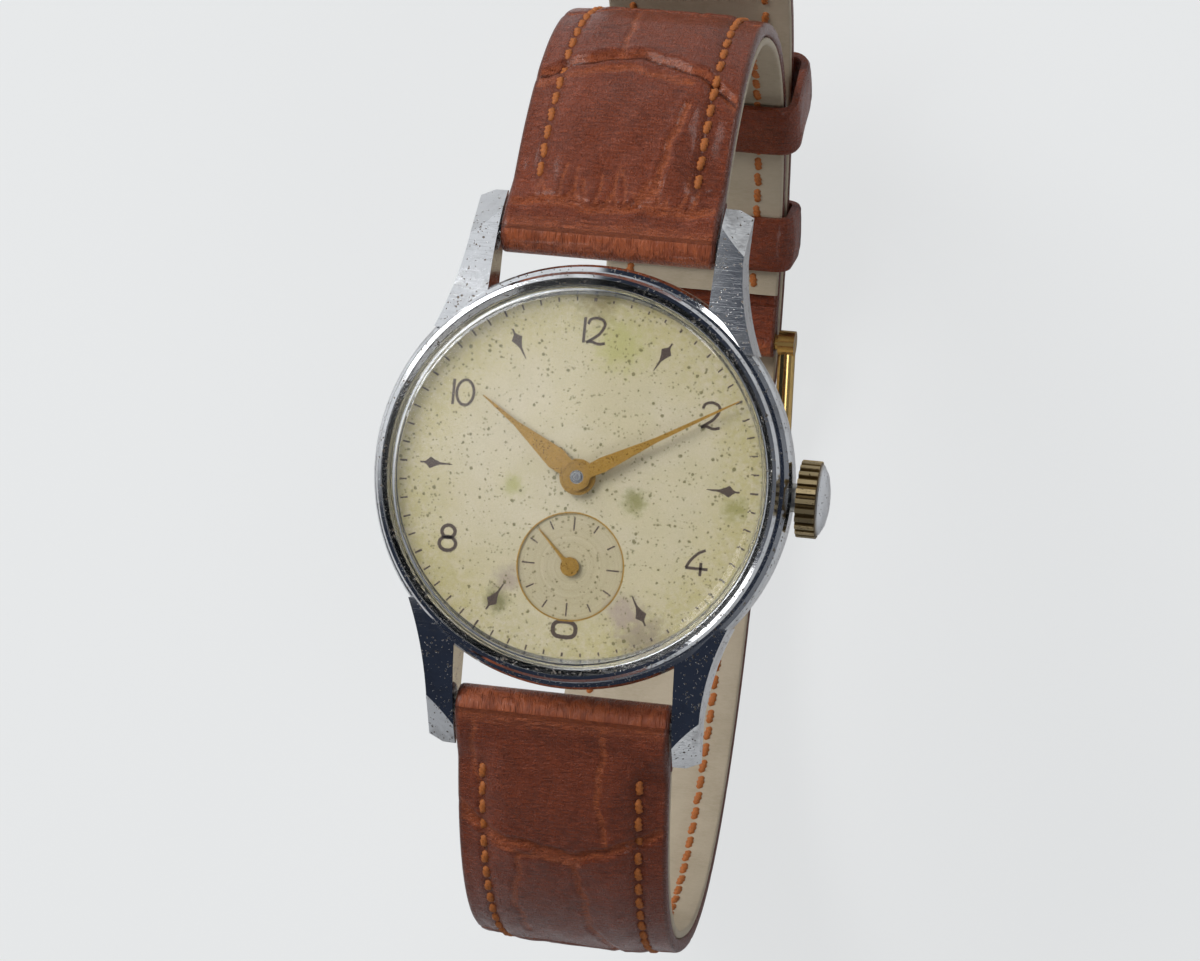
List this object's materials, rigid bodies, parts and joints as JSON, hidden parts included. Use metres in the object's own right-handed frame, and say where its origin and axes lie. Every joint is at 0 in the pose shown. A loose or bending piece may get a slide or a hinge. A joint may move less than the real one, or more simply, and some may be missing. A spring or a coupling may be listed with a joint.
{
  "type": "wristwatch",
  "caption": "Hand-wound wristwatch with round case, horned lugs, domed crystal, small seconds, geared movement and a buckled leather strap.",
  "frame": {"origin": "centre of the case back's flat outer face, on the hand axis", "axes": "+Z out through the dial, +Y towards 12 o'clock, +X towards the crown at 3 o'clock"},
  "size_m": [0.0368, 0.0903, 0.0582],
  "materials": {
    "polished_steel": "polished, lightly pitted plating",
    "steel_back": "brushed, scratched",
    "worn_plating": "plating worn to brass in the flutes",
    "acrylic": "clear, fine scratches",
    "dial_lacquer": "aged silvered lacquer with stains",
    "aged_brass": "gilt, dulled with age",
    "movement_brass": "gilt",
    "nickel_plate": "matt plated",
    "movement_steel": "polished steel",
    "blued_spring": "tempered steel",
    "screw_steel": "polished",
    "ruby": "polished synthetic ruby",
    "gasket_rubber": "matt",
    "brown_leather": "embossed scale grain, polished, orange stitching",
    "lining_leather": "smooth, beige",
    "gilt_buckle": "polished gold tone"
  },
  "bodies": {
    "case": {"case_body": "polished_steel", "bezel": "polished_steel", "crystal": "acrylic", "case_back": "steel_back", "back_gasket": "gasket_rubber", "movement_ring": "nickel_plate", "case_screws": "screw_steel", "crown_tube": "movement_steel", "spring_bars": "movement_steel", "dial": "dial_lacquer", "main_plate": "nickel_plate", "barrel_bridge": "nickel_plate", "train_bridge": "nickel_plate", "balance_cock": "nickel_plate", "pallet_bridge": "nickel_plate", "regulator": "movement_steel", "bridge_screws": "screw_steel", "jewels": "ruby", "crown_wheel_core": "movement_steel", "click_spring": "movement_steel", "hairspring": "blued_spring", "strap_buckle_half": "brown_leather", "lining_buckle_half": "lining_leather", "strap_tail_half": "brown_leather", "lining_tail_half": "lining_leather", "fixed_keeper": "brown_leather"},
    "minute_hand": {"minute_hand": "aged_brass", "cannon_pinion": "movement_steel", "centre_wheel": "movement_brass"},
    "hour_hand": {"hour_hand": "aged_brass", "hour_wheel": "movement_brass"},
    "minute_wheel": {"minute_wheel": "movement_brass"},
    "setting_wheel": {"setting_wheel": "movement_steel"},
    "third_wheel": {"third_wheel": "movement_brass"},
    "seconds_hand": {"seconds_hand": "aged_brass", "fourth_wheel": "movement_brass"},
    "escape_wheel": {"escape_wheel": "movement_steel"},
    "mainspring_barrel": {"barrel_drum": "movement_brass", "barrel_cover": "movement_brass", "mainspring": "blued_spring"},
    "ratchet": {"barrel_arbor": "movement_steel", "ratchet_wheel": "movement_steel", "ratchet_screw": "screw_steel"},
    "crown_wheel": {"crown_wheel": "movement_steel"},
    "winding_pinion": {"winding_pinion": "movement_steel"},
    "crown": {"crown": "worn_plating", "winding_stem": "movement_steel"},
    "sliding_pinion": {"sliding_pinion": "movement_steel"},
    "setting_lever": {"setting_lever": "movement_steel"},
    "yoke": {"yoke": "movement_steel"},
    "click": {"click": "movement_steel"},
    "balance": {"balance_wheel": "movement_brass", "balance_staff": "movement_steel", "impulse_jewel": "ruby"},
    "pallet_fork": {"pallet_fork": "movement_steel", "pallet_stones": "ruby"},
    "buckle_frame": {"buckle_frame": "gilt_buckle", "buckle_bar": "gilt_buckle"},
    "buckle_tongue": {"buckle_tongue": "gilt_buckle"},
    "free_keeper": {"free_keeper": "brown_leather"}
  },
  "joints": [
    {"name": "seconds_hand_turn", "type": "hinge", "parent": "case", "child": "seconds_hand", "pos_m": [0, -0.00715, 0.0055], "axis": [0, 0, -1], "continuous": true},
    {"name": "minute_hand_turn", "type": "hinge", "parent": "case", "child": "minute_hand", "pos_m": [0, 0, 0.00622], "axis": [0, 0, -1], "continuous": true},
    {"name": "hour_hand_turn", "type": "hinge", "parent": "case", "child": "hour_hand", "pos_m": [0, 0, 0.00586], "axis": [0, 0, -1], "continuous": true},
    {"name": "minute_wheel_turn", "type": "hinge", "parent": "case", "child": "minute_wheel", "pos_m": [0.00271, 0.00099, 0.0044], "axis": [0, 0, -1], "continuous": true},
    {"name": "setting_wheel_turn", "type": "hinge", "parent": "case", "child": "setting_wheel", "pos_m": [0.00643, 0.00099, 0.0044], "axis": [0, 0, -1], "continuous": true},
    {"name": "third_wheel_turn", "type": "hinge", "parent": "case", "child": "third_wheel", "pos_m": [0.00322, -0.00376, 0.0028], "axis": [0, 0, -1], "continuous": true},
    {"name": "escape_wheel_turn", "type": "hinge", "parent": "case", "child": "escape_wheel", "pos_m": [-0.0036, -0.00967, 0.003], "axis": [0, 0, -1], "continuous": true},
    {"name": "barrel_turn", "type": "hinge", "parent": "case", "child": "mainspring_barrel", "pos_m": [0.00246, 0.00568, 0.0033], "axis": [0, 0, -1], "continuous": true},
    {"name": "winding_turn", "type": "hinge", "parent": "case", "child": "winding_pinion", "pos_m": [0.0097, 0, 0.0031], "axis": [1, 0, 0], "continuous": true},
    {"name": "crown_wheel_turn", "type": "hinge", "parent": "case", "child": "crown_wheel", "pos_m": [0.0072, 0, 0.00145], "axis": [0, 0, -1], "continuous": true},
    {"name": "ratchet_turn", "type": "hinge", "parent": "case", "child": "ratchet", "pos_m": [0.00246, 0.00568, 0.00145], "axis": [0, 0, -1], "continuous": true},
    {"name": "crown_pull", "type": "slide", "parent": "winding_pinion", "child": "crown", "axis": [1, 0, 0], "range_m": [0, 0.0009]},
    {"name": "sliding_pinion_shift", "type": "slide", "parent": "winding_pinion", "child": "sliding_pinion", "axis": [1, 0, 0], "range_m": [-0.00063, 0]},
    {"name": "setting_lever_turn", "type": "hinge", "parent": "case", "child": "setting_lever", "pos_m": [0.0111, 0.0026, 0.0038], "axis": [0, 0, 1], "range_deg": [0, 24.61]},
    {"name": "yoke_turn", "type": "hinge", "parent": "case", "child": "yoke", "pos_m": [0.0086, 0.0044, 0.0038], "axis": [0, 0, 1], "range_deg": [-10.63, 0]},
    {"name": "click_lift", "type": "hinge", "parent": "case", "child": "click", "pos_m": [-0.00355, 0.00788, 0.00145], "axis": [0, 0, -1], "range_deg": [0, 8], "stiffness_Nm_per_rad": 0.000002, "springref_deg": -11.46},
    {"name": "balance_swing", "type": "hinge", "parent": "case", "child": "balance", "pos_m": [-0.00741, -0.00465, 0.0022], "axis": [0, 0, -1], "range_deg": [-220, 220], "stiffness_Nm_per_rad": 0.0000000841},
    {"name": "pallet_swing", "type": "hinge", "parent": "case", "child": "pallet_fork", "pos_m": [-0.00517, -0.0076, 0.003], "axis": [0, 0, -1], "range_deg": [-5, 5]},
    {"name": "buckle_frame_turn", "type": "hinge", "parent": "case", "child": "buckle_frame", "pos_m": [0, 0.01358, -0.04345], "axis": [1, 0, 0], "range_deg": [-1, 14]},
    {"name": "buckle_tongue_lift", "type": "hinge", "parent": "buckle_frame", "child": "buckle_tongue", "pos_m": [0, 0.01358, -0.04345], "axis": [1, 0, 0], "range_deg": [0, 35]},
    {"name": "free_keeper_slide", "type": "slide", "parent": "case", "child": "free_keeper", "axis": [0, -0.7126, -0.7016], "range_m": [-0.0015, 0.0015]}
  ],
  "couplings": [
    {"joint": "third_wheel_turn", "follows": "seconds_hand_turn", "ratio": -0.13333},
    {"joint": "minute_hand_turn", "follows": "seconds_hand_turn", "ratio": 0.016667},
    {"joint": "escape_wheel_turn", "follows": "seconds_hand_turn", "ratio": -10},
    {"joint": "barrel_turn", "follows": "seconds_hand_turn", "ratio": -0.0025641},
    {"joint": "minute_wheel_turn", "follows": "seconds_hand_turn", "ratio": -0.0055556},
    {"joint": "hour_hand_turn", "follows": "seconds_hand_turn", "ratio": 0.0013889},
    {"joint": "setting_wheel_turn", "follows": "seconds_hand_turn", "ratio": 0.0076923},
    {"joint": "crown_wheel_turn", "follows": "winding_turn", "ratio": -0.5},
    {"joint": "ratchet_turn", "follows": "winding_turn", "ratio": 0.34091},
    {"joint": "sliding_pinion_shift", "follows": "crown_pull", "ratio": -0.7},
    {"joint": "setting_lever_turn", "follows": "crown_pull", "rad_per_m": 477.06},
    {"joint": "yoke_turn", "follows": "crown_pull", "rad_per_m": -205.88}
  ]
}
